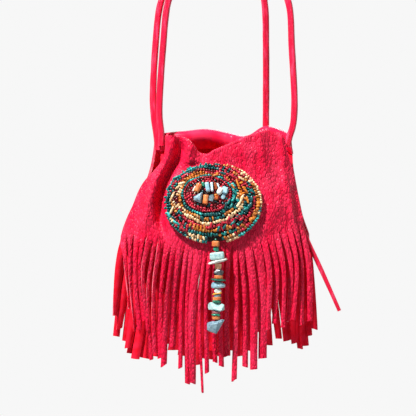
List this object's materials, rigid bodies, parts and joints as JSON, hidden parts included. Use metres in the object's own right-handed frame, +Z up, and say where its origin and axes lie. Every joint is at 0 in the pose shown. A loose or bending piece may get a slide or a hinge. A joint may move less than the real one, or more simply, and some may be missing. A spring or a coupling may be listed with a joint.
{
  "type": "fringed leather pouch",
  "caption": "Soft leather drawstring pouch with slit fringe front and back, a beaded oval medallion and a hanging bead dangle.",
  "frame": {"origin": "where the doubled strap hangs on its peg, under the top of the strap's arch", "axes": "+Z up, +X to the right seen from the front, -Y out of the front towards the viewer"},
  "size_m": [0.1478, 0.0454, 0.2866],
  "materials": {
    "leather_red": "soft pebbled grain, satin",
    "leather_lining": "matte",
    "lace_red": "satin",
    "thread": "waxed",
    "backing": "matte felt",
    "bead_crimson": "gloss",
    "bead_teal": "gloss",
    "bead_ochre": "gloss",
    "bead_mixed": "gloss",
    "bead_cream": "gloss",
    "stone_light_blue": "satin",
    "stone_aqua": "satin",
    "stone_orange": "satin",
    "stone_green": "satin",
    "stone_dark_green": "polished",
    "stone_amber": "polished",
    "stone_white": "satin",
    "stone_grey": "satin",
    "stone_dark_grey": "polished",
    "stone_peach": "satin",
    "stone_lilac": "satin"
  },
  "bodies": {
    "pouch": {"front_panel": "leather_red", "back_panel": "leather_red", "inner_pouch": "leather_lining", "strap_outer": "lace_red", "strap_inner": "lace_red", "drawstring": "lace_red", "side_thong": "lace_red", "medallion_backing": "backing", "bead_row_crimson": "bead_crimson", "bead_row_teal": "bead_teal", "bead_row_border": "bead_teal", "bead_row_ochre": "bead_ochre", "bead_row_mixed": "bead_mixed", "bead_row_cream": "bead_cream", "stone_pyramid": "stone_light_blue", "stone_bar_blue": "stone_light_blue", "stone_bar_blue_thin": "stone_light_blue", "stone_chip_blue": "stone_light_blue", "stone_tube_orange": "stone_orange", "stone_tube_orange_low": "stone_orange", "stone_bead_green": "stone_green", "dangle_anchor": "stone_green", "stone_sliver_amber": "stone_amber", "stone_chip_amber": "stone_amber", "stone_oval_white": "stone_white", "stone_bead_grey": "stone_grey"},
    "dangle_top": {"thread_top": "thread", "bead_orange_tube": "stone_orange", "bead_green_ball": "stone_green"},
    "dangle_upper": {"thread_upper": "thread", "bead_aqua_block": "stone_aqua", "bead_white_disc": "stone_white", "bead_peach_ball": "stone_peach"},
    "dangle_middle": {"thread_middle": "thread", "bead_grey_chip": "stone_dark_grey", "bead_orange_disc": "stone_orange", "bead_dark_green_ring": "stone_dark_green", "bead_blue_block": "stone_light_blue", "bead_white_ball": "stone_white"},
    "dangle_lower": {"thread_lower": "thread", "bead_grey_blue_disc": "stone_grey", "bead_orange_disc_low": "stone_orange", "bead_green_disc": "stone_green", "bead_aqua_nugget": "stone_aqua", "bead_lilac_disc": "stone_lilac", "bead_green_ring": "stone_green", "bead_orange_tube_low": "stone_orange", "bead_blue_pyramid": "stone_light_blue"}
  },
  "joints": [
    {"name": "dangle_side_swing", "type": "hinge", "parent": "pouch", "child": "dangle_top", "pos_m": [-0.0042, -0.02229, -0.1881], "axis": [0, 1, 0], "range_deg": [-30, 30]},
    {"name": "dangle_out_swing", "type": "hinge", "parent": "dangle_top", "child": "dangle_upper", "pos_m": [-0.00386, -0.02229, -0.19415], "axis": [-1, 0, 0], "range_deg": [0, 55]},
    {"name": "dangle_upper_bend", "type": "hinge", "parent": "dangle_upper", "child": "dangle_middle", "pos_m": [-0.00255, -0.02229, -0.20515], "axis": [-1, 0, 0], "range_deg": [0, 25]},
    {"name": "dangle_lower_bend", "type": "hinge", "parent": "dangle_middle", "child": "dangle_lower", "pos_m": [-0.00283, -0.02229, -0.22123], "axis": [-1, 0, 0], "range_deg": [0, 25]}
  ]
}
